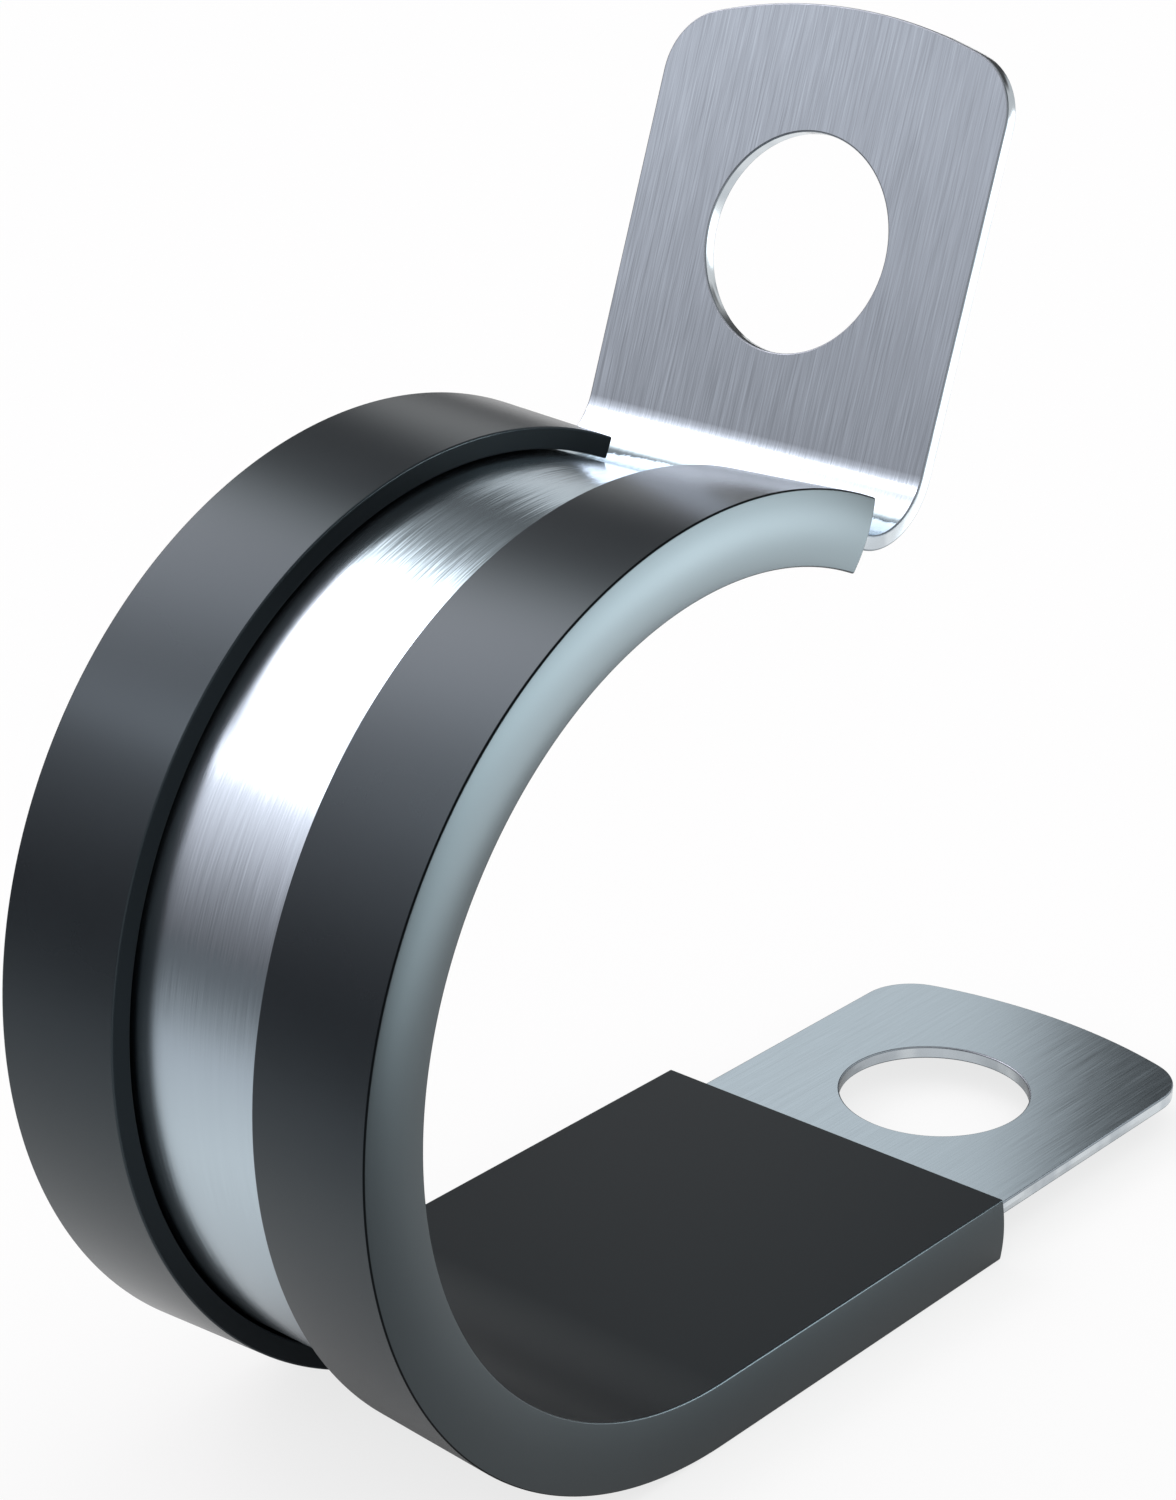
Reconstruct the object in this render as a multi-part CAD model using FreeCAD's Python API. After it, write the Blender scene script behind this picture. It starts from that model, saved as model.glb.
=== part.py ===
import FreeCAD, Part
import math
import os

# Rubber-lined P clip, in millimetres, in the open shape in which it is sold.
# One steel strip is rolled into a loop and bent back into an upper tab.
# A rubber channel is pushed over the strip, and its two lips fold round the strip's edges.
# X runs along the lower leg towards its bolt hole, Y runs across the strip and Z is up.
# The origin is on the axis of the loop, halfway across the strip.
# Along the strip, angles are turned about +Y from the foot of the loop, over its closed side.

# Steel strip
strip_width = 12.7
strip_thickness = 0.46

# Loop and reverse bend
loop_bore = 25.14               # across the open loop, inside the rubber
loop_wrap_deg = 209.0           # from the lower leg round to the reverse bend
bend_inner_radius = 1.92
bend_turn_deg = 99.0            # back from the loop up to the upper tab

# Lower leg and upper tab, each with a bolt hole
leg_length = 27.65              # from the foot of the loop to the tip
tab_length = 12.85              # from the end of the bend to the tip
hole_diameter = 6.6             # clears a 6 mm or quarter-inch bolt
leg_hole_to_tip = 7.4
tab_hole_to_tip = 7.05
end_radius = 17.2               # bow of each tip
corner_radius = 2.05            # where the bow meets the strip's edges

# Rubber channel
pad_thickness = 0.775           # between the strip and what it holds
side_wall = 0.6                 # beside the strip's edge
side_crown = 0.11               # how far the side faces bulge at mid-height
channel_play = 0.05             # between the strip's edge and the side wall
lip_width = 4.3                 # from the outer edge in over the strip
lip_thickness = 0.995           # at the outer edge
lip_edge_thickness = 0.67       # at the free edge
lip_edge_lift = 0.12            # the free edge stands this far off the strip
crease_radius = 0.12            # rounding of the outer edge of each lip
liner_leg_length = 14.35        # rubber along the lower leg
liner_stop_gap = 0.87           # bare strip between the rubber and the reverse bend

# Worked out from the sizes above
half_strip = strip_width / 2
half_thick = strip_thickness / 2
loop_radius = loop_bore / 2 + pad_thickness + half_thick
bend_radius = bend_inner_radius + half_thick
half_liner = half_strip + channel_play + side_wall
liner_wrap_deg = loop_wrap_deg - math.degrees(liner_stop_gap / loop_radius)
tab_turn_deg = loop_wrap_deg - bend_turn_deg

loop_axis = FreeCAD.Vector(0, 0, 0)
across = FreeCAD.Vector(0, 1, 0)


def out_from_axis(angle_deg, radius):
    """Point in the middle plane, at a radius from the loop's axis and an angle round the loop."""
    angle = math.radians(angle_deg)
    return FreeCAD.Vector(-radius * math.sin(angle), 0, -radius * math.cos(angle))


def along_strip(angle_deg):
    """Direction of the strip, away from the lower leg, once it has turned by an angle."""
    angle = math.radians(angle_deg)
    return FreeCAD.Vector(-math.cos(angle), 0, math.sin(angle))


bend_axis = out_from_axis(loop_wrap_deg, loop_radius + bend_radius)
tab_start = bend_axis + out_from_axis(tab_turn_deg, bend_radius) * -1
tab_heading = along_strip(tab_turn_deg)
leg_start = out_from_axis(0, loop_radius)


def turned(shape, centre, angle_deg):
    """Copy of a shape, turned about an axis across the strip."""
    copy = shape.copy()
    copy.rotate(centre, across, angle_deg)
    return copy


def swung(face, centre, angle_deg):
    """Solid that a face sweeps as it turns about an axis across the strip."""
    return face.revolve(centre, across, angle_deg)


def joined(first, others):
    """One solid from pieces that meet face to face."""
    return first.fuse(others).removeSplitter()


def tab_outline(length):
    """Closed outline of a flat end: straight edges, a bowed tip and two rounded corners."""
    bow_centre = length - end_radius
    corner_y = half_strip - corner_radius
    reach = end_radius - corner_radius
    lean = math.asin(corner_y / reach)
    corner_x = bow_centre + reach * math.cos(lean)
    halfway = (lean + math.pi / 2) / 2
    meet = FreeCAD.Vector(bow_centre + end_radius * math.cos(lean), end_radius * math.sin(lean), 0)
    bulge = FreeCAD.Vector(corner_x + corner_radius * math.cos(halfway),
                           corner_y + corner_radius * math.sin(halfway), 0)
    side = FreeCAD.Vector(corner_x, half_strip, 0)
    root = FreeCAD.Vector(0, half_strip, 0)
    tip = FreeCAD.Vector(length, 0, 0)
    other = [FreeCAD.Vector(point.x, -point.y, 0) for point in (root, side, bulge, meet)]
    edges = [Part.makeLine(other[0], other[1]),
             Part.Arc(other[1], other[2], other[3]).toShape(),
             Part.Arc(other[3], tip, meet).toShape(),
             Part.Arc(meet, bulge, side).toShape(),
             Part.makeLine(side, root),
             Part.makeLine(root, other[0])]
    return Part.Wire(edges)


def flat_end(length, hole_to_tip):
    """Flat end of the strip, along +X from its root, with its bolt hole."""
    plate = Part.Face(tab_outline(length)).extrude(FreeCAD.Vector(0, 0, strip_thickness))
    plate.translate(FreeCAD.Vector(0, 0, -half_thick))
    foot = FreeCAD.Vector(length - hole_to_tip, 0, -strip_thickness)
    hole = Part.makeCylinder(hole_diameter / 2, 2 * strip_thickness, foot)
    return plate.cut(hole)


def strip_section():
    """Cross-section of the strip at the foot of the loop."""
    corner = leg_start + FreeCAD.Vector(0, -half_strip, -half_thick)
    face = Part.makePlane(strip_width, strip_thickness, corner, FreeCAD.Vector(1, 0, 0), across)
    return face


def steel_band():
    """Lower leg, loop, reverse bend and upper tab, all one strip."""
    section = strip_section()
    leg = flat_end(leg_length, leg_hole_to_tip)
    leg.translate(leg_start)
    loop = swung(section, loop_axis, loop_wrap_deg)
    bend = swung(turned(section, loop_axis, loop_wrap_deg), bend_axis, -bend_turn_deg)
    tab = flat_end(tab_length, tab_hole_to_tip)
    tab = turned(tab, FreeCAD.Vector(0, 0, 0), tab_turn_deg - 180)
    tab.translate(tab_start)
    return joined(leg, [loop, bend, tab])


def liner_section():
    """Cross-section of the rubber channel at the foot of the loop, open on the strip's outer side."""
    inside = -half_thick - pad_thickness
    crease = half_thick + lip_thickness
    lip_y = half_liner - lip_width
    lip_under = half_thick + lip_edge_lift
    lip_over = lip_under + lip_edge_thickness
    wall_y = half_strip + channel_play
    crown_y = half_liner + side_crown
    crown_out = (inside + crease) / 2

    def at(y, out):
        return leg_start + FreeCAD.Vector(0, y, -out)

    near_side = [(-half_liner, inside), (-half_liner, crease), (-lip_y, lip_over), (-lip_y, lip_under),
                 (-wall_y, half_thick), (-wall_y, -half_thick)]
    far_side = [(-y, out) for y, out in reversed(near_side)]
    outline = [at(y, out) for y, out in near_side[1:] + far_side[:-1]]
    edges = [Part.makeLine(start, end) for start, end in zip(outline, outline[1:])]
    edges.append(Part.Arc(at(half_liner, crease), at(crown_y, crown_out), at(half_liner, inside)).toShape())
    edges.append(Part.makeLine(at(half_liner, inside), at(-half_liner, inside)))
    edges.append(Part.Arc(at(-half_liner, inside), at(-crown_y, crown_out), at(-half_liner, crease)).toShape())
    return Part.Face(Part.Wire(edges))


def is_crease(edge):
    """True for the long outer edges of the lips, along the leg and round the loop."""
    middle = edge.valueAt((edge.FirstParameter + edge.LastParameter) / 2)
    on_leg = middle.x > 0 and middle.z < 0
    out = -middle.z if on_leg else math.hypot(middle.x, middle.z)
    at_crease = abs(out - loop_radius - half_thick - lip_thickness) < 1e-4
    return at_crease and abs(abs(middle.y) - half_liner) < 1e-4


def rubber_liner():
    """Rubber channel along the lower leg and round the loop, cut square at both ends."""
    section = liner_section()
    leg = section.extrude(FreeCAD.Vector(liner_leg_length, 0, 0))
    loop = swung(section, loop_axis, liner_wrap_deg)
    channel = joined(leg, [loop])
    creases = [edge for edge in channel.Edges if is_crease(edge)]
    return channel.makeFillet(crease_radius, creases)


def report(name, shape):
    """Print what was made, to compare it with the real thing."""
    box = shape.BoundBox
    print(name, "valid", shape.isValid(), "solids", len(shape.Solids), "volume", round(shape.Volume, 2))
    print("  x %.3f to %.3f, y %.3f to %.3f, z %.3f to %.3f"
          % (box.XMin, box.XMax, box.YMin, box.YMax, box.ZMin, box.ZMax))


os.makedirs("parts", exist_ok=True)
for node, make in (("steel_band", steel_band), ("rubber_liner", rubber_liner)):
    solid = make()
    report(node, solid)
    solid.exportStep("parts/" + node + ".step")
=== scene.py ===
# %% [markdown]
# # Rubber-lined P clip
#
# A P clip holds a pipe or a bundle of cables against a panel.
# It has two pieces: a strip of brushed stainless steel, and a black rubber channel pushed over it.
# The engineer's model comes in model.glb, so this lesson keeps its shape and place.
# Here each piece gets the fine edges and the finishes that a camera sees.

# %% Load the engineer's model
import bpy
import bmesh
import math
from mathutils import Matrix, Vector


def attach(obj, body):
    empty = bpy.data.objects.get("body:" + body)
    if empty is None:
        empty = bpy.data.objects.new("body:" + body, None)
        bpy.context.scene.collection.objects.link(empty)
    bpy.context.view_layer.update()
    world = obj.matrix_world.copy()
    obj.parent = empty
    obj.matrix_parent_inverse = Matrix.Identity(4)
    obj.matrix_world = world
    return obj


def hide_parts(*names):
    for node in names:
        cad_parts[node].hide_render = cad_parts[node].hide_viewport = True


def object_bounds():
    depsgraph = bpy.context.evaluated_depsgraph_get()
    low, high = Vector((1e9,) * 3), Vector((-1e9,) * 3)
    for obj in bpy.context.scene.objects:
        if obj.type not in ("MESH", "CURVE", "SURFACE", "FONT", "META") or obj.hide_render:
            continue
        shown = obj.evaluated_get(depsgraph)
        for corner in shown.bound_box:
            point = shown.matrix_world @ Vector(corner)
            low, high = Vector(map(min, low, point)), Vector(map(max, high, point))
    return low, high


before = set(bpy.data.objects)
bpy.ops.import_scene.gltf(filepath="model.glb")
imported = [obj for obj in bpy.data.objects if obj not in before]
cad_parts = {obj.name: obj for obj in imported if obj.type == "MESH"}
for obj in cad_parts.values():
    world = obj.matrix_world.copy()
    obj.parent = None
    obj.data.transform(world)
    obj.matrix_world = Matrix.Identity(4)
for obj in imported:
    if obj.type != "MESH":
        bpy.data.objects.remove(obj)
cad_box = [list(corner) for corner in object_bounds()]
print("pieces in the model:", sorted(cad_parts))

# %% [markdown]
# Sizes are written in millimetres, as in the engineer's model, because the clip is small.
# Blender's own unit is the metre, so each mesh is scaled once, at the moment it is folded.
# The loop is measured inside its rubber, so the rubber pad's thickness is needed here too.

# %% Sizes of the steel strip
MM = 0.001

strip_width = 12.7
strip_thickness = 0.46
pad_thickness = 0.775
loop_bore = 25.14
loop_wrap = math.radians(209.0)
bend_inner_radius = 1.92
bend_turn = math.radians(99.0)

leg_length = 27.65
tab_length = 12.85
hole_radius = 3.3
leg_hole_to_tip = 7.4
tab_hole_to_tip = 7.05
end_radius = 17.2
corner_radius = 2.05

half_strip = strip_width / 2
half_thick = strip_thickness / 2
loop_radius = loop_bore / 2 + pad_thickness + half_thick
bend_radius = bend_inner_radius + half_thick
print("middle of the steel: loop radius %.3f mm, bend radius %.3f mm" % (loop_radius, bend_radius))

# %% [markdown]
# The real strip is cut out flat, its holes are punched, and only then is it folded.
# Copying that order makes the modelling easy.
# Each piece is made flat, with x as the distance along the strip, y across it and z through it.
# One function then says where a flat point goes on the folded clip, and how it is turned.
# Distances start at the foot of the loop: negative along the leg, positive round the loop.

# %% Where a flat point goes
bend_start = loop_radius * loop_wrap
tab_start = bend_start + bend_radius * bend_turn
tab_turn = loop_wrap - bend_turn


def heading(turn):
    """Direction along the strip, once it has turned by an angle from the leg."""
    return Vector((-math.cos(turn), 0, math.sin(turn)))


def outward(turn):
    """Direction out of the loop, at the same place."""
    return Vector((-math.sin(turn), 0, -math.cos(turn)))


bend_axis = outward(loop_wrap) * (loop_radius + bend_radius)
tab_root = bend_axis - outward(tab_turn) * bend_radius


def place_on_clip(along):
    """Middle of the strip at a distance along it, and how far it has turned there."""
    if along <= 0:
        return Vector((-along, 0, -loop_radius)), 0.0
    if along <= bend_start:
        turn = along / loop_radius
        return outward(turn) * loop_radius, turn
    if along <= tab_start:
        turn = loop_wrap - (along - bend_start) / bend_radius
        return bend_axis - outward(turn) * bend_radius, turn
    return tab_root + heading(tab_turn) * (along - tab_start), tab_turn


def fold(point):
    """The folded place of a flat point, and the turn that its normal makes too."""
    middle, turn = place_on_clip(point[0])
    axes = Matrix((heading(turn), (0, 1, 0), outward(turn))).transposed()
    return middle + axes @ Vector((0, point[1], point[2])), axes


print("strip, tip to tip: %.2f mm" % (leg_length + tab_start + tab_length))

# %% [markdown]
# A curved stretch needs many narrow cuts across it, or its outline shows corners.
# A straight stretch needs none, so the cuts are only put where the strip turns.

# %% Cuts across the curved stretches
LOOP_CUT = 0.22
BEND_CUT = 0.07


def cuts(start, end, step):
    """Distances from start to end, evenly spaced, no further apart than step."""
    count = math.ceil((end - start) / step)
    return [start + (end - start) * i / count for i in range(count + 1)]


strip_cuts = cuts(0, bend_start, LOOP_CUT) + cuts(bend_start, tab_start, BEND_CUT)[1:]
print("cuts across the strip:", len(strip_cuts))

# %% [markdown]
# Every edge of a real part is a little rounded, and that thin rounding catches the light.
# Blender's bevel could round a finished mesh, but it would have to find the right edges first.
# Here a closed outline is moved inwards in small steps instead.
# The direction of each step comes from the two neighbours of a point.
# A long straight side then wins over the short steps of a corner, so flat faces stay flat.

# %% Outlines and rounded edges
def outline_normals(outline):
    """Outward direction at each point of a closed outline that runs anticlockwise."""
    normals = []
    for i in range(len(outline)):
        before, after = outline[i - 1], outline[(i + 1) % len(outline)]
        normals.append(Vector((after[1] - before[1], before[0] - after[0])).normalized())
    return normals


def arc(centre, radius, start, end, steps):
    """Points round part of a circle, both ends included, angles in radians."""
    angles = [start + (end - start) * i / steps for i in range(steps + 1)]
    return [(centre[0] + radius * math.cos(a), centre[1] + radius * math.sin(a)) for a in angles]


def edge_steps(radius, steps):
    """How far a rounded edge steps in and back, and how far its normal has tipped."""
    angles = [math.pi / 2 * i / steps for i in range(steps + 1)]
    return [(radius * (1 - math.cos(a)), radius * (1 - math.sin(a)), a) for a in angles]


print("a 1 mm rounding in 2 steps:", [[round(v, 2) for v in step] for step in edge_steps(1, 2)])

# %% [markdown]
# While a piece is flat it is only lists: its points, their normals, its faces and their finishes.
# Most of it is rings of points that are bridged one after the other, as along a tube.

# %% A piece that is still flat
class FlatPiece:
    """Points, normals and faces of a piece that is still flat."""

    def __init__(self):
        self.points, self.normals, self.faces, self.finishes = [], [], [], []

    def ring(self, points, normals):
        """Add a ring of points and give back their numbers."""
        first = len(self.points)
        self.points += points
        self.normals += normals
        return list(range(first, len(self.points)))

    def face(self, corners, finish):
        """Add a face, with the number of its finish."""
        self.faces.append(corners)
        self.finishes.append(finish)

    def bridge(self, ring_a, ring_b, finishes):
        """Faces between two closed rings with the same number of points, each with its finish."""
        for i, finish in enumerate(finishes):
            j = (i + 1) % len(ring_a)
            self.face((ring_a[i], ring_a[j], ring_b[j], ring_b[i]), finish)


# %% [markdown]
# A face with a hole in it can't be a single polygon, so it is filled with triangles.
# Blender has a tool for that. It only needs the closed edges that bound the face.
# The triangles all lie in one plane, so they never show.

# %% Fill a flat face that may have holes
def fill(piece, rings, finish):
    """Triangles over a flat face bounded by closed rings of the piece's points."""
    mesh = bmesh.new()
    made = {index: mesh.verts.new(piece.points[index]) for ring in rings for index in ring}
    numbers = {vert: index for index, vert in made.items()}
    edges = [mesh.edges.new((made[ring[i - 1]], made[ring[i]]))
             for ring in rings for i in range(len(ring))]
    done = bmesh.ops.triangle_fill(mesh, edges=edges, use_beauty=True)
    triangles = [[numbers[vert] for vert in part.verts]
                 for part in done["geom"] if isinstance(part, bmesh.types.BMFace)]
    up = Vector(piece.normals[rings[0][0]])
    for corners in triangles:
        a, b, c = (Vector(piece.points[i]) for i in corners)
        if (b - a).cross(c - a).dot(up) < 0:
            corners.reverse()
        piece.face(tuple(corners), finish)
    mesh.free()


# %% [markdown]
# A folded mesh keeps a second record of where each point was while it was flat.
# That record is its UV map, in millimetres along the strip and across it.
# The brushed grain will follow it round every bend, as it does on the real strip.

# %% Fold a flat piece into an object
def folded_object(piece, name, finishes):
    """An object from a flat piece: folded, in metres, with its flat map, normals and finishes."""
    places, normals = [], []
    for point, normal in zip(piece.points, piece.normals):
        place, axes = fold(point)
        places.append(place * MM)
        normals.append(axes @ Vector(normal))
    mesh = bpy.data.meshes.new(name)
    mesh.from_pydata(places, [], piece.faces)
    flat_map = mesh.uv_layers.new(name="flat")
    for corner in mesh.loops:
        point = piece.points[corner.vertex_index]
        flat_map.data[corner.index].uv = (point[0], point[1])
    for finish in finishes:
        mesh.materials.append(finish)
    for polygon, number in zip(mesh.polygons, piece.finishes):
        polygon.material_index = number
        polygon.use_smooth = True
    mesh.validate()
    mesh.normals_split_custom_set_from_vertices(normals)
    made = bpy.data.objects.new(name, mesh)
    bpy.context.scene.collection.objects.link(made)
    print(name, "has", len(mesh.vertices), "points and", len(mesh.polygons), "faces")
    return made


# %% [markdown]
# ## Tools for finishes
#
# A finish is a tree of nodes, and so is the light of the room.
# Adding and joining nodes by hand takes many lines, so a few short helpers do it.
# A socket may be fed a number, a colour, or what another node gives out.

# %% Add nodes and feed them
def new_finish(name):
    """An empty material, its tree of nodes and its Principled shader."""
    material = bpy.data.materials.new(name)
    material.use_nodes = True
    return material, material.node_tree, material.node_tree.nodes["Principled BSDF"]


def add(tree, kind, **settings):
    """A node of one kind, with its settings."""
    node = tree.nodes.new("ShaderNode" + kind)
    for setting, value in settings.items():
        setattr(node, setting, value)
    return node


def feed(tree, node, values):
    """The node, once each socket in values has its plain value or is joined to another node."""
    for socket, value in values.items():
        if isinstance(value, bpy.types.NodeSocket):
            tree.links.new(value, node.inputs[socket])
        else:
            node.inputs[socket].default_value = value
    return node


# %% Nodes for numbers and directions
def number_node(tree, operation, *values):
    """One step of arithmetic on numbers."""
    node = add(tree, "Math", operation=operation)
    return feed(tree, node, dict(enumerate(values))).outputs[0]


def direction_node(tree, operation, *values):
    """One step of arithmetic on directions."""
    node = add(tree, "VectorMath", operation=operation)
    return feed(tree, node, dict(enumerate(values))).outputs["Vector"]


def ranged(tree, value, low, high, new_low=0.0, new_high=1.0, way="LINEAR"):
    """A value moved from one range to another."""
    node = add(tree, "MapRange", interpolation_type=way)
    values = dict(enumerate((value, low, high, new_low, new_high)))
    return feed(tree, node, values).outputs["Result"]


# %% Nodes that mix
def mix_numbers(tree, share, first, second):
    """A number between two numbers."""
    node = add(tree, "Mix", data_type="FLOAT")
    return feed(tree, node, {0: share, 2: first, 3: second}).outputs[0]


def mix_colours(tree, share, first, second, way="MIX"):
    """A colour between two colours, or one times the other."""
    node = add(tree, "Mix", data_type="RGBA", blend_type=way)
    return feed(tree, node, {0: share, 6: first, 7: second}).outputs[2]


def colour_ramp(tree, value, *stops):
    """A colour that follows stops of (position, colour)."""
    node = add(tree, "ValToRGB")
    made = node.color_ramp.elements
    first, *between, last = stops
    for i, (position, colour) in enumerate((first, last)):
        made[i].position, made[i].color = position, (*colour, 1)
    for position, colour in between:
        made.new(position).color = (*colour, 1)
    return feed(tree, node, {"Fac": value}).outputs["Color"]


# %% [markdown]
# ## Steel strip
#
# The strip was brushed along its length before it was cut.
# The brush leaves fine parallel scratches of many lengths.
# A picture of scratches would do, but it would have to be drawn first, and it would repeat.
# Noise is simpler: it is squeezed across the strip and drawn out along it.
# Two fine noises lean a degree or so, one to each side, because a brush never runs quite straight.

# %% Scratches made from noise
# Each has its scale along the strip and across it, its detail, its offset and its lean in degrees.
FINE_SCRATCHES = (0.30, 22.0, 1), 3.0, (3.1, 7.7, 0), 1.1
CROSSING_SCRATCHES = (0.34, 17.0, 1), 3.0, (6.2, 2.9, 0), -1.3
BROAD_STREAKS = (0.10, 5.0, 1), 2.0, (9.4, 1.3, 0), 0.2


def flat_place(tree):
    """Where a point of the surface was on the flat strip, in millimetres."""
    return add(tree, "UVMap", uv_map="flat").outputs["UV"]


def drawn_out_noise(tree, place, scale, detail, offset, lean=0.0):
    """Noise over the flat strip, with its own scale along it and across it."""
    turned = feed(tree, add(tree, "Mapping"),
                  {"Vector": place, "Rotation": (0, 0, math.radians(lean))})
    stretched = feed(tree, add(tree, "Mapping"),
                     {"Vector": turned.outputs[0], "Scale": scale, "Location": offset})
    noise = feed(tree, add(tree, "TexNoise", noise_dimensions="2D"),
                 {"Vector": stretched.outputs[0], "Scale": 1.0, "Detail": detail, "Roughness": 0.6})
    return noise.outputs["Fac"]


def brush_marks(tree, place):
    """The fine scratches, and the same with some broad streaks mixed in."""
    fine = mix_numbers(tree, 0.5, drawn_out_noise(tree, place, *FINE_SCRATCHES),
                       drawn_out_noise(tree, place, *CROSSING_SCRATCHES))
    return fine, mix_numbers(tree, 0.25, fine, drawn_out_noise(tree, place, *BROAD_STREAKS))


# %% [markdown]
# Rolling the loop changed the brushed steel. Round the loop it is duller,
# and its scratches are faint on the closed side and deep on top.
# The leg and the tab stayed as the brush left them.
# So each amount in the finish has four levels: on the leg, the closed side, the top and the tab.
# A painted mask could say where each one holds, but the distance along the strip already does.

# %% Levels along the strip
LEVEL_CHANGES = ((-1.0, 3.0), (30.0, 35.5), (bend_start + 0.5, bend_start + 2.0))
GRAIN_CONTRAST = (1.1, 0.3, 0.8, 1.0)
EXTRA_ROUGHNESS = (0.0, 0.085, 0.085, 0.0)
SCRATCH_DEPTH = (0.024, 0.07, 0.165, 0.055)


def along_strip(tree, distance, levels):
    """A value with its own level on the leg, the loop's closed side, its top and the tab."""
    total = levels[0]
    for (start, end), before, after in zip(LEVEL_CHANGES, levels, levels[1:]):
        step = ranged(tree, distance, start, end, 0, after - before)
        total = number_node(tree, "ADD", total, step)
    return total


print("levels change at, in mm:", [[round(v, 1) for v in change] for change in LEVEL_CHANGES])

# %% [markdown]
# The scratches change the colour a little, the roughness a little, and tip the surface a little.
# A bump node could tip it too, but it measures slopes between pixels and blurs fine scratches.
# Here the noise leans the normal directly, mostly along the strip and a little across it.

# %% Tip a surface
LEAN_ALONG, LEAN_ACROSS = 1.0, 0.2


def surface_directions(tree):
    """The surface's normal, and the direction along the strip."""
    along = add(tree, "Tangent", direction_type="UV_MAP", uv_map="flat").outputs["Tangent"]
    return add(tree, "NewGeometry").outputs["Normal"], along


def tipped(tree, normal, tips):
    """A normal that leans towards each direction by its amount."""
    for towards, amount in tips:
        lean = add(tree, "VectorMath", operation="SCALE")
        feed(tree, lean, {0: towards, "Scale": amount})
        normal = direction_node(tree, "ADD", normal, lean.outputs["Vector"])
    return direction_node(tree, "NORMALIZE", normal)


# %% [markdown]
# A brushed surface also spreads light more across its scratches than along them.
# The Principled shader calls that anisotropy. It also needs the direction of the scratches,
# which is read from the flat map, so it turns with the strip.

# %% Brushed stainless steel
DARK_GRAIN, PALE_GRAIN = (0.422, 0.497, 0.550), (0.496, 0.586, 0.648)


def brushed_steel():
    """Stainless steel with a fine grain along the strip."""
    material, tree, shader = new_finish("brushed_stainless_steel")
    place = flat_place(tree)
    distance = feed(tree, add(tree, "SeparateXYZ"), {0: place}).outputs["X"]
    fine, grain = brush_marks(tree, place)

    contrast = number_node(tree, "MULTIPLY", ranged(tree, grain, 0, 1, -0.5, 0.5),
                           along_strip(tree, distance, GRAIN_CONTRAST))
    colour = colour_ramp(tree, ranged(tree, contrast, -0.5, 0.5),
                         (0.34, DARK_GRAIN), (0.66, PALE_GRAIN))
    roughness = number_node(tree, "ADD", along_strip(tree, distance, EXTRA_ROUGHNESS),
                            ranged(tree, grain, 0.3, 0.7, 0.085, 0.13))

    normal, along = surface_directions(tree)
    across = direction_node(tree, "CROSS_PRODUCT", normal, along)
    depth = along_strip(tree, distance, SCRATCH_DEPTH)
    tips = [(towards, number_node(tree, "MULTIPLY", depth, ranged(tree, fine, 0, 1, -most, most)))
            for towards, most in ((along, LEAN_ALONG), (across, LEAN_ACROSS))]
    feed(tree, shader, {"Base Color": colour, "Roughness": roughness, "Metallic": 1.0,
                        "Normal": tipped(tree, normal, tips), "Tangent": along,
                        "Anisotropic": 0.8, "Anisotropic Rotation": 0.25})
    return material


steel_finishes = [brushed_steel()]
print("made", steel_finishes[0].name)

# %% [markdown]
# A press cuts the strip and its holes, and the brush never reaches the cut.
# The punch burnishes the wall of the cut, so it is paler than the faces, with wide soft marks.
# Where a face turns over into the cut, a thin line is painted darker than both, as a painted shade
# line round every edge.
# One steel for everything would lose those lines, so each gets a finish of its own.
# Their marks have no direction, so the same noise gets one scale both ways.

# %% Cut edges and their rim, painted dark as shade
CUT_MARKS = (0.5, 0.5, 1), 2.0, (0.4, 5.2, 0)
CUT_WAVES = (0.42, 0.42, 1), 1.0, (2.4, 8.2, 0)
RIM_MARKS = (1.7, 1.7, 1), 3.0, (5.4, 1.2, 0)
DARK_CUT, PALE_CUT = (0.52, 0.57, 0.61), (0.68, 0.73, 0.76)
# The rim's colour is a painted shade: darker than the steel, so that each edge shows a dark line.
RIM_PAINTED_SHADE = (0.26, 0.29, 0.32, 1)


def sheared_steel():
    """The same steel where the press cut it: paler, with wide soft marks."""
    material, tree, shader = new_finish("sheared_steel_edge")
    place = flat_place(tree)
    marks = drawn_out_noise(tree, place, *CUT_MARKS)
    waves = drawn_out_noise(tree, place, *CUT_WAVES)
    normal, along = surface_directions(tree)
    tips = [(along, ranged(tree, waves, 0.3, 0.7, -0.16, 0.16))]
    feed(tree, shader, {"Base Color": colour_ramp(tree, marks, (0.40, DARK_CUT), (0.56, PALE_CUT)),
                        "Roughness": ranged(tree, marks, 0.3, 0.7, 0.12, 0.2),
                        "Normal": tipped(tree, normal, tips), "Metallic": 1.0})
    return material


def painted_dark_rim():
    """The thin rounding where a face turns over into the cut, painted dark as a painted shade line.
    """
    material, tree, shader = new_finish("steel_rim_painted_shade")
    marks = drawn_out_noise(tree, flat_place(tree), *RIM_MARKS)
    feed(tree, shader, {"Base Color": RIM_PAINTED_SHADE, "Metallic": 1.0,
                        "Roughness": ranged(tree, marks, 0.3, 0.7, 0.29, 0.45)})
    return material


steel_finishes += [sheared_steel(), painted_dark_rim()]
BRUSHED, SHEARED, RIM = 0, 1, 2
print("steel finishes:", [finish.name for finish in steel_finishes])

# %% [markdown]
# The flat strip is one outline with a bowed tip at each end and a bolt hole behind each tip.
# The long sides carry a point at every cut, so that they can bend.
# A drawing could be traced instead, but with arcs each size stays one number.

# %% Outline of the flat strip
CORNER_STEPS = 14
BOW_STEPS = 30
HOLE_STEPS = 96


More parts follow.
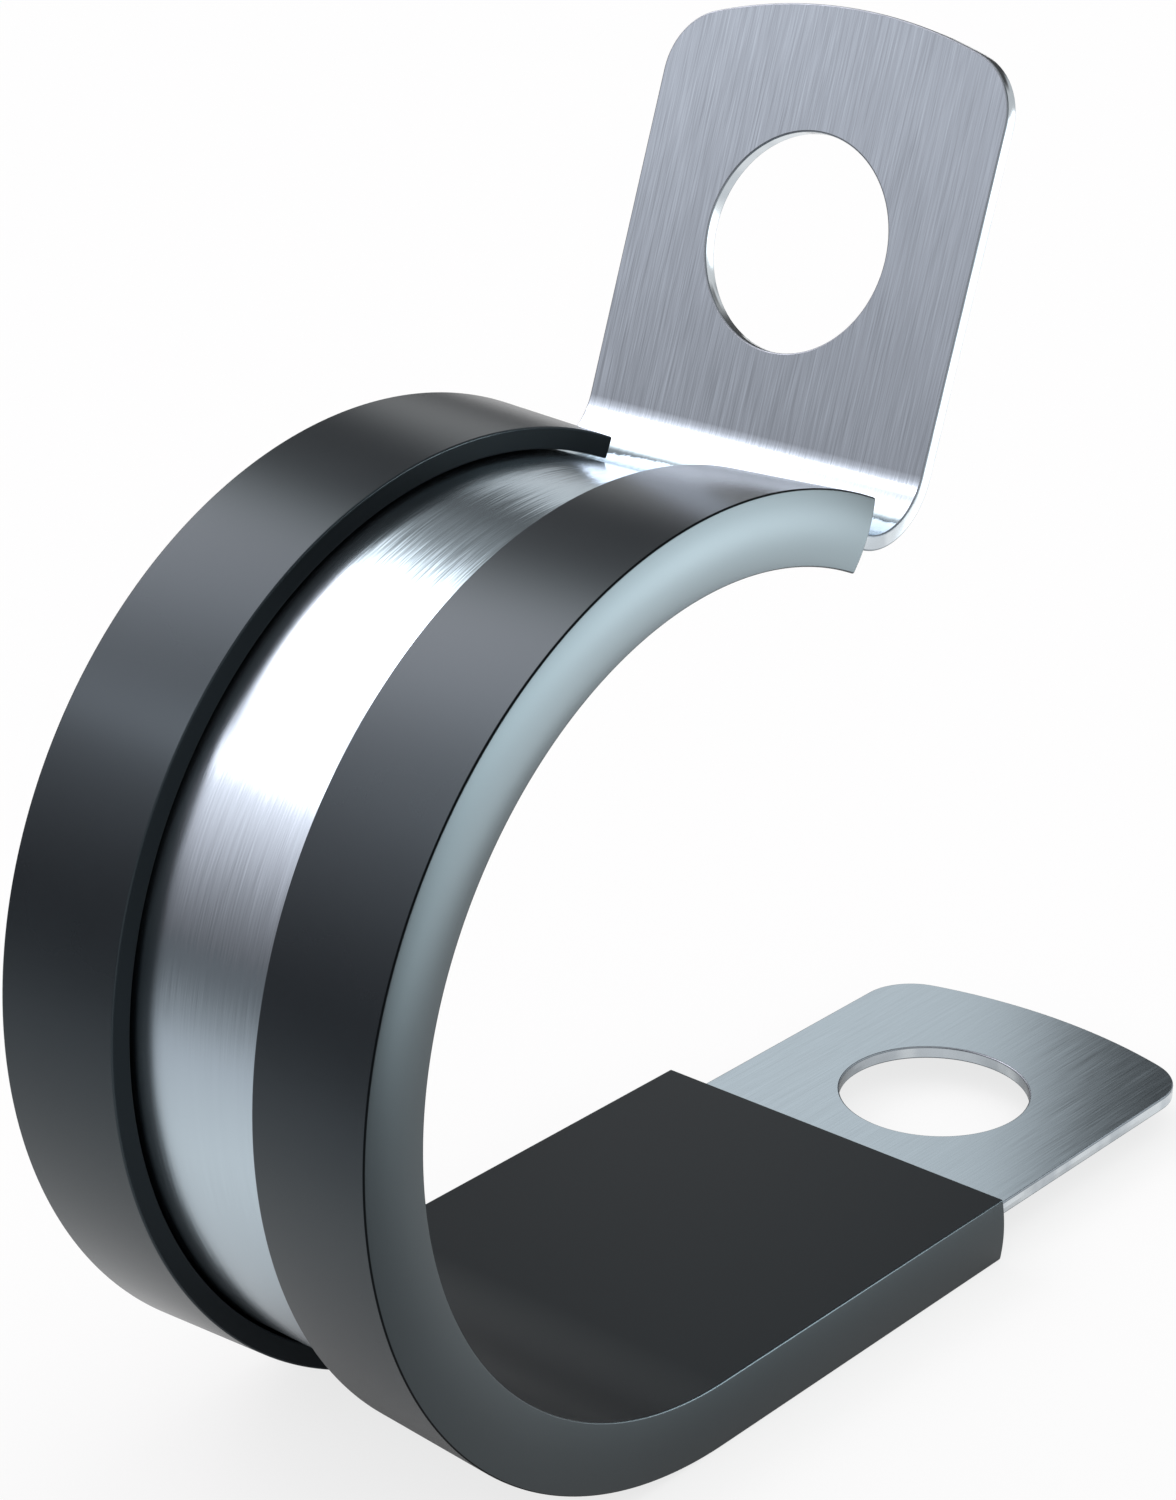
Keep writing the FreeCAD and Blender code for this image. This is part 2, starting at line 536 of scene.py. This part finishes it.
def tip_outline(length):
    """Half-turn of points round a bowed tip, from y below zero to y above, tip at x = length."""
    lean = math.asin((half_strip - corner_radius) / (end_radius - corner_radius))
    corner_x = length - end_radius + (end_radius - corner_radius) * math.cos(lean)
    corner_y = half_strip - corner_radius
    low_corner = arc((corner_x, -corner_y), corner_radius, -math.pi / 2, -lean, CORNER_STEPS)
    bow = arc((length - end_radius, 0), end_radius, -lean, lean, BOW_STEPS)
    high_corner = arc((corner_x, corner_y), corner_radius, lean, math.pi / 2, CORNER_STEPS)
    return low_corner + bow[1:-1] + high_corner


def hole_outline(centre_x):
    """A punched hole, clockwise, so that its outward side is the empty side."""
    return arc((centre_x, 0), hole_radius, 2 * math.pi, 0, HOLE_STEPS)[:-1]


tab_tip = [(tab_start + x, y) for x, y in tip_outline(tab_length)]
leg_tip = [(-x, -y) for x, y in tip_outline(leg_length)]
near_side = [(along, -half_strip) for along in strip_cuts]
far_side = [(along, half_strip) for along in reversed(strip_cuts)]
strip_outline = near_side + tab_tip + far_side + leg_tip
leg_hole = hole_outline(leg_hole_to_tip - leg_length)
tab_hole = hole_outline(tab_start + tab_length - tab_hole_to_tip)
print("points round the strip:", len(strip_outline))

# %% [markdown]
# The press leaves a wall through the strip's thickness, round the outline and round both holes.
# Each wall is a stack of rings: the rounding of one edge, the flat cut, the rounding of the other.
# The normals tip with the rounding, so a few steps already look smooth.

# %% Walls of the strip and its holes
EDGE_ROUNDING = 0.055
EDGE_STEPS = 4


def rounded_wall(piece, outline):
    """Wall through the strip with both edges rounded. Returns its lowest and highest rings."""
    normals = outline_normals(outline)
    steps = edge_steps(EDGE_ROUNDING, EDGE_STEPS)
    rings = []
    for side in (-1, 1):
        for inset, back, tip in (reversed(steps) if side < 0 else steps):
            points = [(x - n.x * inset, y - n.y * inset, side * (half_thick - back))
                      for (x, y), n in zip(outline, normals)]
            leaning = [(n.x * math.cos(tip), n.y * math.cos(tip), side * math.sin(tip))
                       for n in normals]
            rings.append(piece.ring(points, leaning))
    for level, (lower, upper) in enumerate(zip(rings, rings[1:])):
        # The roundings get the rim finish, which is painted dark as a shade line.
        finish = SHEARED if level == EDGE_STEPS else RIM
        piece.bridge(lower, upper, [finish] * len(outline))
    return rings[0], rings[-1]


strip = FlatPiece()
walls = [rounded_wall(strip, outline) for outline in (strip_outline, leg_hole, tab_hole)]
print("points in the walls:", len(strip.points))

# %% [markdown]
# The two ends of each face stay flat and have the holes, so they are filled with triangles.
# Between them each cut is joined to the next by one long face across the strip.

# %% Faces of the strip
cut_count = len(strip_cuts)
far_start = cut_count + len(tab_tip)
far_end = far_start + cut_count
for level in (0, 1):
    border, leg_ring, tab_ring = (wall[level] for wall in walls)
    near = border[:cut_count]
    far = list(reversed(border[far_start:far_end]))
    tab_border = border[cut_count - 1:far_start + 1]
    leg_border = border[far_end - 1:] + border[:1]
    fill(strip, [tab_border, tab_ring], BRUSHED)
    fill(strip, [leg_border, leg_ring], BRUSHED)
    for i in range(cut_count - 1):
        corners = (near[i], near[i + 1], far[i + 1], far[i])
        strip.face(corners if level else tuple(reversed(corners)), BRUSHED)

band = folded_object(strip, "folded_strip", steel_finishes)
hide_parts("steel_band")
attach(band, "root")

# %% [markdown]
# ## Rubber channel
#
# The channel is one black rubber, but it isn't equally glossy all over.
# The lips have the satin skin that the die gave them. The pad inside is duller,
# the sides are softer again, and the crease along each lip is painted near black, as a painted
# shade line.
# One recipe makes all four: a cloudy noise varies the colour and the gloss,
# and a very fine noise roughens the surface.
# One rubber with painted areas would do too, but four finishes follow the section exactly.

# %% Recipe for black rubber
GRAIN_SCALE, GRAIN_STRENGTH, GRAIN_HEIGHT = 9000, 0.05, 0.000005
CLOUD_SCALE = 260
CLOUD_ROUGHNESS = 0.03
DARK_CLOUD, PALE_CLOUD = (0.78, 0.94, 1.12), (1.13, 1.36, 1.60)
RUBBER_IOR = 1.44


def black_rubber(name, shade, roughness, gloss, sheen):
    """Black rubber with soft clouds and a very fine grain."""
    material, tree, shader = new_finish(name)
    place = add(tree, "TexCoord").outputs["Object"]
    cloud, grain = (feed(tree, add(tree, "TexNoise"),
                         {"Vector": place, "Scale": scale, "Detail": detail}).outputs["Fac"]
                    for scale, detail in ((CLOUD_SCALE, 3), (GRAIN_SCALE, 2)))
    dark, pale = ([part * shade for part in colour] for colour in (DARK_CLOUD, PALE_CLOUD))
    bump = feed(tree, add(tree, "Bump"),
                {"Strength": GRAIN_STRENGTH, "Distance": GRAIN_HEIGHT, "Height": grain})
    dullest = roughness + CLOUD_ROUGHNESS
    feed(tree, shader, {"Base Color": colour_ramp(tree, cloud, (0, dark), (1, pale)),
                        "Roughness": ranged(tree, cloud, 0, 1, roughness, dullest),
                        "Normal": bump.outputs["Normal"], "IOR": RUBBER_IOR,
                        "Specular IOR Level": gloss, "Specular Tint": sheen})
    return material


# %% [markdown]
# The four finishes differ in how dark they are, how rough, and how strongly they reflect.
# The lips are the smoothest, and their sheen is a little bluer than the rest.
# Their roughness stays under 0.274. A noise filter treats duller rubber in another way,
# and would draw faint outlines wherever the clouds crossed that value.

# %% Black rubber in four finishes
BLUE_SHEEN, TEAL_SHEEN = (0.68, 0.90, 1.0, 1), (0.73, 0.93, 1.0, 1)

# The fourth finish is nearly black and hardly reflects: a painted shade line along each crease.
rubber_finishes = [black_rubber("satin_black_rubber", 0.0120, 0.243, 0.52, BLUE_SHEEN),
                   black_rubber("dull_black_rubber", 0.0095, 0.34, 0.28, TEAL_SHEEN),
                   black_rubber("soft_black_rubber", 0.0105, 0.31, 0.55, TEAL_SHEEN),
                   black_rubber("crease_rubber_painted_shade", 0.0030, 0.45, 0.06, TEAL_SHEEN)]
LIPS, PAD, SIDES, CREASE = 0, 1, 2, 3
print("rubber finishes:", [finish.name for finish in rubber_finishes])

# %% [markdown]
# The rubber is extruded with one section: a pad inside, two side walls and two lips.
# The side walls bulge a little, and the lips get thinner towards their free edges.
# So the section is drawn once, with its outer corners rounded, and repeated along the strip.

# %% Sizes of the section
side_wall = 0.6
side_crown = 0.11
channel_play = 0.05
lip_width = 4.3
lip_thickness = 0.995
lip_edge_thickness = 0.67
lip_edge_lift = 0.12
crease_radius = 0.07
soft_corner = 0.06

wall_y = half_strip + channel_play
half_liner = wall_y + side_wall
lip_y = half_liner - lip_width
pad_out = -half_thick - pad_thickness
crease_out = half_thick + lip_thickness
lip_under = half_thick + lip_edge_lift
lip_over = lip_under + lip_edge_thickness
print("section: %.2f mm wide and %.3f mm high" % (2 * half_liner, crease_out - pad_out))

# %% Corners of the section
SIDE_STEPS = 12


def crowned_side():
    """Points up a side wall that bulges outwards, from the pad to the crease."""
    half_height = (crease_out - pad_out) / 2
    middle = (crease_out + pad_out) / 2
    radius = (half_height ** 2 + side_crown ** 2) / (2 * side_crown)
    reach = math.asin(half_height / radius)
    side = arc((half_liner + side_crown - radius, 0), radius, -reach, reach, SIDE_STEPS)
    return [(y, middle + out) for y, out in side]


# Each corner is a point and the radius of its rounding.
right_side = [(point, 0) for point in crowned_side()]
right_side[0] = (right_side[0][0], soft_corner)
right_side[-1] = (right_side[-1][0], crease_radius)
right_side += [((lip_y, lip_over), soft_corner), ((lip_y, lip_under), soft_corner),
               ((wall_y, half_thick), 0), ((wall_y, -half_thick), 0)]
left_side = [((-y, out), radius) for (y, out), radius in reversed(right_side)]
corners = right_side + left_side
print("corners of the section:", len(corners))

# %% Round the section's corners
def rounded_corner(before, corner, after, radius, steps=5):
    """Points round a corner, cut back so that its arc touches both sides."""
    to_before = (Vector(before) - Vector(corner)).normalized()
    to_after = (Vector(after) - Vector(corner)).normalized()
    half_angle = to_before.angle(to_after) / 2
    reach = radius / math.tan(half_angle)
    to_centre = (to_before + to_after).normalized() * (radius / math.sin(half_angle))
    centre = Vector(corner) + to_centre
    start = (Vector(corner) + to_before * reach - centre).normalized()
    end = (Vector(corner) + to_after * reach - centre).normalized()
    return [tuple(centre + start.slerp(end, i / steps) * radius) for i in range(steps + 1)]


section = []
for i, (corner, radius) in enumerate(corners):
    before, after = corners[i - 1][0], corners[(i + 1) % len(corners)][0]
    section += rounded_corner(before, corner, after, radius) if radius else [corner]
print("points round the section:", len(section))

# %% [markdown]
# Each stretch of the section gets one of the four finishes, told by where the stretch lies.
# The free edge of each lip is as dull as the pad, so it gets the pad's finish.

# %% Finish of each stretch
crease_reach = 0.85 * crease_radius


def finish_between(first, second):
    """Which finish the rubber has between two points of its section."""
    nearest, furthest = sorted((abs(first[0]), abs(second[0])))
    lowest, highest = sorted((first[1], second[1]))
    if highest < pad_out + 1e-6:
        return PAD
    # The crease's rounding is painted near black, as a shade line.
    if nearest > half_liner - crease_reach and lowest > crease_out - crease_reach:
        return CREASE
    if furthest < lip_y + soft_corner and lowest < lip_over - soft_corner:
        return PAD
    return SIDES if nearest > half_liner else LIPS


section_finishes = [finish_between(point, section[(i + 1) % len(section)])
                    for i, point in enumerate(section)]
for name, number in (("lips", LIPS), ("pad", PAD), ("sides", SIDES), ("crease", CREASE)):
    print("stretches finished as", name + ":", section_finishes.count(number))

# %% [markdown]
# The section lies across the strip, so its rings are placed at each cut, from one end to the other.
# The two ends are cut square with a knife, which leaves a crisp edge with a very small rounding.

# %% Rings of the section
KNIFE_EDGE = 0.04
KNIFE_STEPS = 3
liner_leg_length = 14.35
liner_stop_gap = 0.87
liner_end = bend_start - liner_stop_gap
section_normals = outline_normals(section)


def section_ring(piece, along, inset=0.0, tip=0.0, end=0):
    """One ring of the section. At an end it steps in and its normals tip."""
    points = [(along, y - n.x * inset, out - n.y * inset)
              for (y, out), n in zip(section, section_normals)]
    leaning = [(end * math.sin(tip), n.x * math.cos(tip), n.y * math.cos(tip))
               for n in section_normals]
    return piece.ring(points, leaning)


channel = FlatPiece()
knife_steps = edge_steps(KNIFE_EDGE, KNIFE_STEPS)
rings = [section_ring(channel, -liner_leg_length + back, inset, tip, -1)
         for inset, back, tip in reversed(knife_steps)]
rings += [section_ring(channel, along) for along in cuts(0, liner_end, LOOP_CUT)[:-1]]
rings += [section_ring(channel, liner_end - back, inset, tip, 1)
          for inset, back, tip in knife_steps]
print("rings along the rubber:", len(rings))

# %% Fold the rubber channel
for lower, upper in zip(rings, rings[1:]):
    channel.bridge(lower, upper, section_finishes)
fill(channel, [rings[0]], LIPS)
fill(channel, [rings[-1]], LIPS)

liner = folded_object(channel, "rubber_channel", rubber_finishes)
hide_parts("rubber_liner")
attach(liner, "root")

# %% [markdown]
# ## Studio
#
# Metal looks like what it reflects, so the studio matters as much as the finish.
# It has a pale floor, three small lamps, and a room, which is Blender's world.
# The floor is one square, a hair below the clip, so that no two faces share one place.
# It is wide enough to reach past the edge of the picture from any side.

# %% Floor
FLOOR_SIZE = 6.0
FLOOR_GAP = 0.00002

half = FLOOR_SIZE / 2
floor_corners = [(-half, -half, 0), (half, -half, 0), (half, half, 0), (-half, half, 0)]
floor_mesh = bpy.data.meshes.new("floor")
floor_mesh.from_pydata(floor_corners, [], [(0, 1, 2, 3)])
floor = bpy.data.objects.new("floor", floor_mesh)
bpy.context.scene.collection.objects.link(floor)
floor.location.z = cad_box[0][2] - FLOOR_GAP
print("floor at z = %.5f m" % floor.location.z)

# %% [markdown]
# The floor is white round the clip, and fades to grey on the left, outside the picture.
# The closed side of the loop reflects that part, and is grey in the photograph.
# A screen beside the clip could give the same grey. A ramp across the floor is simpler.

# %% Colour of the floor
TO_LEFT = (-0.74, 0.67, 0)
FADE_LENGTH = 0.25
WHITE_PART = 0.10
BLUE_IN_GREY = 1.03

floor_finish, tree, shader = new_finish("pale_floor")
place = add(tree, "TexCoord").outputs["Object"]
to_left = feed(tree, add(tree, "VectorMath", operation="DOT_PRODUCT"), {0: place, 1: TO_LEFT})
fade = ranged(tree, to_left.outputs["Value"], 0, FADE_LENGTH)
greys = [(position, (level, level, level * BLUE_IN_GREY))
         for position, level in ((0.20, 0.78), (0.32, 0.48), (0.5, 0.31))]
pale = colour_ramp(tree, fade, (WHITE_PART, (1, 1, 1)), *greys, (0.90, (0.22, 0.22, 0.23)))
matt = mix_colours(tree, 1.0, pale, (0.95, 0.95, 0.95, 1), "MULTIPLY")
feed(tree, shader, {"Base Color": matt, "Roughness": 0.9, "Specular IOR Level": 0.1})
print("white for the first %.0f mm to the left" % (FADE_LENGTH * WHITE_PART / MM))

# %% [markdown]
# Lamps alone would leave the floor grey, and stronger lamps would make the clip too bright.
# So what the camera and the reflections see of the floor is mostly plain white light of its own.
# Ambient occlusion darkens that light near the clip, as a soft shadow.
# Reflections have all of it, and the camera only a little, because the photograph has hardly any.

# %% Light of the floor
WHITE_SHARE = 0.90
SHADOW_REACH = 0.016
SHADOW_IN_REFLECTIONS, SHADOW_IN_VIEW = 1.0, 0.15

seen = add(tree, "LightPath").outputs
direct = number_node(tree, "MAXIMUM", seen["Is Camera Ray"], seen["Is Transmission Ray"])
either = number_node(tree, "MAXIMUM", direct, seen["Is Glossy Ray"])
shaded = feed(tree, add(tree, "AmbientOcclusion", samples=8),
              {"Distance": SHADOW_REACH, "Color": pale}).outputs["Color"]
shadow = ranged(tree, seen["Is Camera Ray"], 0, 1, SHADOW_IN_REFLECTIONS, SHADOW_IN_VIEW)
white = feed(tree, add(tree, "Emission"),
             {"Color": mix_colours(tree, shadow, pale, shaded), "Strength": 1.0})
own_light = number_node(tree, "MULTIPLY", either, WHITE_SHARE)
mixed = feed(tree, add(tree, "MixShader"),
             {0: own_light, 1: shader.outputs[0], 2: white.outputs[0]})
feed(tree, tree.nodes["Material Output"], {"Surface": mixed.outputs[0]})
floor_mesh.materials.append(floor_finish)
print("the floor's finish has", len(tree.nodes), "nodes")

# %% [markdown]
# Three soft lamps stand close to the clip, on the camera's right.
# Two of them light the rubber's side wall, which faces them, and give it its long pale sheen.
# The third puts a faint light on the steel.
# On the other piece each of them would be one reflection too many,
# so light linking lets a lamp light one piece only.

# %% A soft lamp
def direction(azimuth, elevation):
    """Unit vector. The azimuth is turned from +X towards +Y, both angles in degrees."""
    a, e = math.radians(azimuth), math.radians(elevation)
    return Vector((math.cos(e) * math.cos(a), math.cos(e) * math.sin(a), math.sin(e)))


def soft_lamp(name, lit, towards, distance, width, height, radiance, colour):
    """A rectangular lamp that faces the clip and lights one piece. A radiance of 1 is white."""
    data = bpy.data.lights.new(name, "AREA")
    data.shape = "RECTANGLE"
    data.size, data.size_y = width, height
    data.energy = radiance * math.pi * width * height
    data.color = colour
    lamp = bpy.data.objects.new(name, data)
    bpy.context.scene.collection.objects.link(lamp)
    lamp.location = towards * distance
    lamp.rotation_euler = towards.to_track_quat("Z", "Y").to_euler()
    lamp.visible_camera = False
    lamp.visible_diffuse = False
    only = bpy.data.collections.new(name + "_lights")
    only.objects.link(lit)
    lamp.light_linking.receiver_collection = only
    wide, high = (2 * math.degrees(math.atan(size / 2 / distance)) for size in (width, height))
    print(name, "covers %.0f by %.0f degrees" % (wide, high))


# %% Three lamps
COOL_WHITE = (0.87, 0.94, 0.98)
PALE_TEAL = (0.90, 0.97, 1.0)

soft_lamp("side_lamp", liner, direction(-60, 13), distance=0.046,
          width=0.036, height=0.026, radiance=10.0, colour=COOL_WHITE)
soft_lamp("low_side_lamp", liner, direction(-60, -12), distance=0.044,
          width=0.036, height=0.031, radiance=8.3, colour=COOL_WHITE)
soft_lamp("side_lamp_on_steel", band, direction(-43, 12), distance=0.048,
          width=0.066, height=0.022, radiance=1.2, colour=PALE_TEAL)

# %% [markdown]
# The room is Blender's world: a level of light for every direction.
# A real studio has walls, screens and soft boxes, and they could be modelled round the clip.
# In the world each one is only a patch between two azimuths and two elevations, with soft edges,
# and it never gets in the camera's way.
# Angles are in degrees. The azimuth is 0 along the leg and 90 straight behind the clip's far side.

# %% Directions in the room
world = bpy.data.worlds.new("room")
bpy.context.scene.world = world
world.use_nodes = True
room = world.node_tree

looking = add(room, "TexCoord").outputs["Generated"]
aim = feed(room, add(room, "SeparateXYZ"), {0: looking}).outputs
to_degrees = 180 / math.pi
azimuth = number_node(room, "ARCTAN2", aim["Y"], aim["X"])
azimuth = number_node(room, "MULTIPLY", azimuth, to_degrees)
elevation = number_node(room, "ARCSINE", aim["Z"])
elevation = number_node(room, "MULTIPLY", elevation, to_degrees)
print("nodes for the two angles:", len(room.nodes))

# %% Patches with soft edges
def rise(value, start, end):
    """0 before start, 1 after end, and a smooth rise between."""
    return ranged(room, value, start, end, way="SMOOTHSTEP")


def opposite(value):
    """1 where a value is 0, and 0 where it is 1."""
    return number_node(room, "SUBTRACT", 1.0, value)


def product(first, *others):
    """Several values multiplied."""
    for other in others:
        first = number_node(room, "MULTIPLY", first, other)
    return first


def window(value, rise_start, rise_end, fall_start, fall_end):
    """1 between two places, with a smooth edge at each."""
    return product(rise(value, rise_start, rise_end), opposite(rise(value, fall_start, fall_end)))


def blend(low, high, share):
    """low where share is 0, high where it is 1."""
    return number_node(room, "ADD", product(low, opposite(share)), product(high, share))


# %% [markdown]
# The wall behind the clip glows on the left, most of all a little over a third of the way up.
# The tab reflects the lower part of it. The loop and the lips reflect the rest,
# up to the white band.
# On the right the wall is nearly dark. The leg's dark corner is its reflection.

# %% Walls behind the clip
MOST_LIGHT = 4.0
GLOW = ((0, 0.30), (0.045, 0.38), (0.13, 0.67), (0.22, 1.22), (0.27, 1.42), (0.305, 1.52),
        (0.38, 2.2), (0.47, 1.8), (0.53, 1.0), (0.62, 0.4), (1, 0.3))

# A ramp holds no more than 1, so its levels are divided by the most light and multiplied again.
way_up = number_node(room, "DIVIDE", elevation, 90.0)
glow_ramp = colour_ramp(room, way_up, *((at, [level / MOST_LIGHT] * 3) for at, level in GLOW))
glow = number_node(room, "MULTIPLY", glow_ramp, MOST_LIGHT)

dim_end = blend(1.0, 0.63, rise(azimuth, 134, 142))
high_patch = blend(1.0, 1.4, product(rise(azimuth, 132, 138), rise(elevation, 22, 28)))
bright_patch = blend(1.0, 2.8, product(window(azimuth, 128, 132, 138, 142),
                                       window(elevation, 29, 34, 39, 45)))
left_wall = product(glow, dim_end, high_patch, bright_patch)
right_wall = number_node(room, "ADD", blend(0.08, 0.17, rise(azimuth, 34, 46)),
                         product(rise(azimuth, 48, 58), 0.25))
is_left = rise(azimuth, 62, 88)
back_wall = blend(right_wall, left_wall, is_left)
print("nodes with the walls:", len(room.nodes))

# %% [markdown]
# A large soft light, high up behind the clip, makes the white band on the loop.
# It is part of the room and not a lamp, so its edges can be as soft as the band's.
# A narrow strip of light stands in front of the dark wall, and the leg reflects it.
# The room's near half and its ceiling are pale, with one darker gap on the camera's right.

# %% Lights in the room
LARGE_LIGHT = 5.0
STRIP_LIGHT = 0.82
FRONT, FRONT_GAP = 0.8, 0.15
CEILING = 1.2

large_light = product(rise(azimuth, 57, 84), blend(1.0, 0.05, rise(azimuth, 96, 134)),
                      rise(elevation, 24, 50), blend(1.0, 0.2, rise(elevation, 44, 68)),
                      LARGE_LIGHT)
strip_light = product(window(azimuth, 31.9, 33.9, 42.0, 46.5), window(elevation, 5, 15, 34, 42),
                      STRIP_LIGHT)
far_half = number_node(room, "ADD", number_node(room, "ADD", back_wall, large_light), strip_light)
gap = product(window(azimuth, -105, -85, -30, -15), window(elevation, 16, 28, 68, 80))
walls_light = blend(blend(FRONT, FRONT_GAP, gap), far_half, rise(aim["Y"], -0.15, 0.2))
ceiling_light = product(rise(elevation, 52, 75), CEILING)
print("nodes with the lights:", len(room.nodes))

# %% [markdown]
# The light on the left is very slightly pink, which takes some green out of the steel there.
# A direction shows the walls' light or the ceiling's, whichever is stronger.

# %% Light of the room
NEUTRAL_LIGHT, PINKISH_LIGHT = (0.98, 0.985, 0.99, 1), (1.0, 0.922, 0.965, 1)

feed(room, room.nodes["Background"],
     {"Strength": number_node(room, "MAXIMUM", walls_light, ceiling_light),
      "Color": mix_colours(room, is_left, NEUTRAL_LIGHT, PINKISH_LIGHT)})
print("nodes in the room:", len(room.nodes))

# %% [markdown]
# ## Camera
#
# The photograph looks at the closed side of the loop, from the left and from above.
# The camera stands 11 cm from the clip, as a close-up camera would.
# It leans by a sixth of a degree, as the photograph does.

# %% Camera
CAMERA_PLACE = Vector((-72.587, -64.969, 46.094))
CAMERA_BACK = Vector((-0.69675, -0.60700, 0.38223)).normalized()
CAMERA_ROLL = math.radians(-0.170)
LENS = 87.594

camera_data = bpy.data.cameras.new("camera")
camera_data.lens = LENS
camera_data.sensor_width = 36
camera_data.clip_start = 0.001
camera = bpy.data.objects.new("camera", camera_data)
bpy.context.scene.collection.objects.link(camera)
bpy.context.scene.camera = camera

level_right = Vector((0, 0, 1)).cross(CAMERA_BACK).normalized()
level_up = CAMERA_BACK.cross(level_right)
camera_right = level_right * math.cos(CAMERA_ROLL) + level_up * math.sin(CAMERA_ROLL)
camera_up = CAMERA_BACK.cross(camera_right)
camera_turn = Matrix((camera_right, camera_up, CAMERA_BACK)).transposed().to_4x4()
camera.matrix_world = Matrix.Translation(CAMERA_PLACE * MM) @ camera_turn
print("camera at", [round(c, 4) for c in camera.location])

# %% [markdown]
# Standard shows each colour as it is written, without a film-like curve.
# The finishes above were chosen under it.

# %% Colours as they are written
bpy.context.scene.view_settings.view_transform = "Standard"
print("view transform:", bpy.context.scene.view_settings.view_transform)
